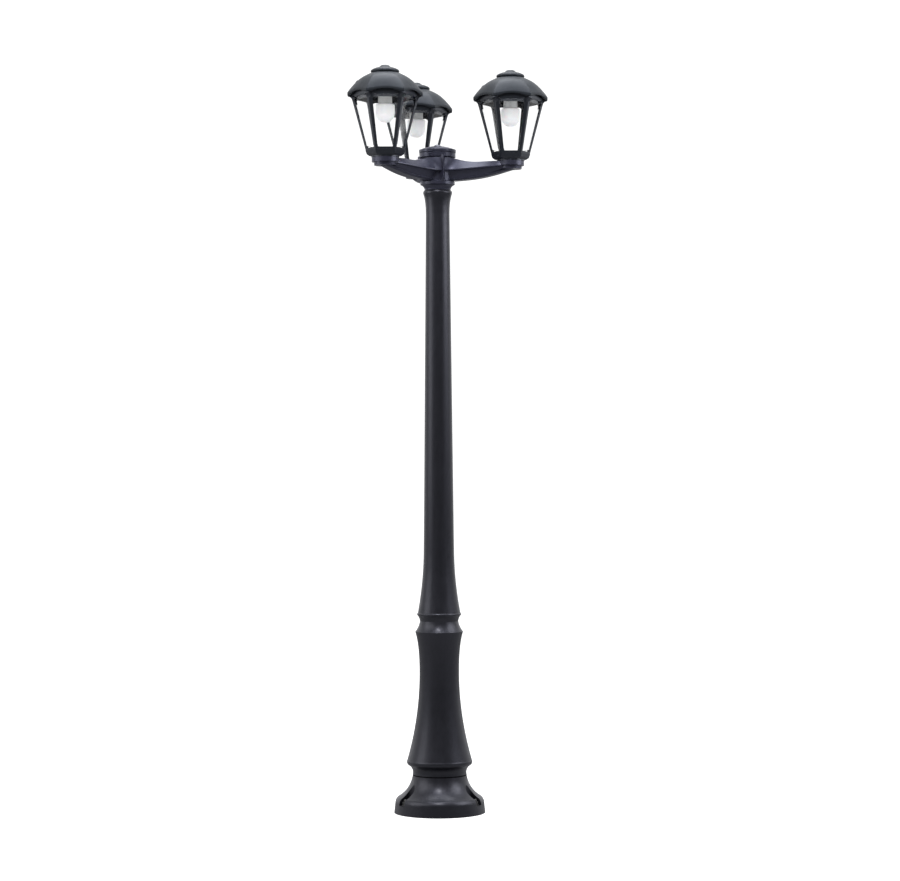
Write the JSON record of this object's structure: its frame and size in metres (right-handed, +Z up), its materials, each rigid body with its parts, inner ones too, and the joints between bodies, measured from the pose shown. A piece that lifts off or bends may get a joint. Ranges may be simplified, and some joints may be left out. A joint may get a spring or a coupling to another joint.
{
  "type": "lamp_post",
  "caption": "Garden lamp post with a bolted round foot, a tapered column, and three arms that each carry a six-sided lantern with a lift-off roof",
  "frame": {"origin": "On the post's axis at ground level, in the middle of the cable entry under the foot", "axes": "Z up along the post; -Y towards the viewer of the picture; X to the viewer's right"},
  "size_m": [0.5638, 0.5407, 2.0995],
  "materials": {
    "resin": "satin",
    "galvanised": "satin",
    "zinc_screw": "satin",
    "terminal_plastic": "matte",
    "clear_pane": "polished",
    "seal_rubber": "matte",
    "white_plate": "satin",
    "holder_plastic": "satin",
    "nickel": "polished",
    "lamp_housing": "satin",
    "opal": "satin"
  },
  "bodies": {
    "post": {"foot": "resin", "anchor_studs": "galvanised", "anchor_nuts": "galvanised", "anchor_washers": "galvanised", "lower_column": "resin", "shaft": "resin", "core_tube": "galvanised", "core_nuts": "galvanised", "hub": "resin", "terminal_block": "terminal_plastic", "arm_screws": "zinc_screw", "arm_left": "resin", "arm_right": "resin", "arm_rear": "resin", "base_left": "resin", "fixing_left": "galvanised", "cage_left": "resin", "cage_screws_left": "zinc_screw", "panes_left": "clear_pane", "roof_seal_left": "seal_rubber", "base_right": "resin", "fixing_right": "galvanised", "cage_right": "resin", "cage_screws_right": "zinc_screw", "panes_right": "clear_pane", "roof_seal_right": "seal_rubber", "base_rear": "resin", "fixing_rear": "galvanised", "cage_rear": "resin", "cage_screws_rear": "zinc_screw", "panes_rear": "clear_pane", "roof_seal_rear": "seal_rubber"},
    "left_top": {"roof_left": "resin", "roof_plug_left": "resin", "finial_left": "resin", "holder_plate_left": "white_plate", "plate_screws_left": "zinc_screw", "lamp_holder_left": "holder_plastic"},
    "left_bulb": {"bulb_cap_left": "nickel", "bulb_body_left": "lamp_housing", "bulb_globe_left": "opal"},
    "right_top": {"roof_right": "resin", "roof_plug_right": "resin", "finial_right": "resin", "holder_plate_right": "white_plate", "plate_screws_right": "zinc_screw", "lamp_holder_right": "holder_plastic"},
    "right_bulb": {"bulb_cap_right": "nickel", "bulb_body_right": "lamp_housing", "bulb_globe_right": "opal"},
    "rear_top": {"roof_rear": "resin", "roof_plug_rear": "resin", "finial_rear": "resin", "holder_plate_rear": "white_plate", "plate_screws_rear": "zinc_screw", "lamp_holder_rear": "holder_plastic"},
    "rear_bulb": {"bulb_cap_rear": "nickel", "bulb_body_rear": "lamp_housing", "bulb_globe_rear": "opal"},
    "cover": {"hub_cover": "resin"}
  },
  "joints": [
    {"name": "left_roof_lift", "type": "slide", "parent": "post", "child": "left_top", "axis": [0, 0, 1], "range_m": [0, 0.12]},
    {"name": "left_bulb_pull", "type": "slide", "parent": "left_top", "child": "left_bulb", "axis": [0, 0, -1], "range_m": [0, 0.035]},
    {"name": "right_roof_lift", "type": "slide", "parent": "post", "child": "right_top", "axis": [0, 0, 1], "range_m": [0, 0.12]},
    {"name": "right_bulb_pull", "type": "slide", "parent": "right_top", "child": "right_bulb", "axis": [0, 0, -1], "range_m": [0, 0.035]},
    {"name": "rear_roof_lift", "type": "slide", "parent": "post", "child": "rear_top", "axis": [0, 0, 1], "range_m": [0, 0.12]},
    {"name": "rear_bulb_pull", "type": "slide", "parent": "rear_top", "child": "rear_bulb", "axis": [0, 0, -1], "range_m": [0, 0.035]},
    {"name": "cover_lift", "type": "slide", "parent": "post", "child": "cover", "axis": [0, 0, 1], "range_m": [0, 0.05]}
  ]
}
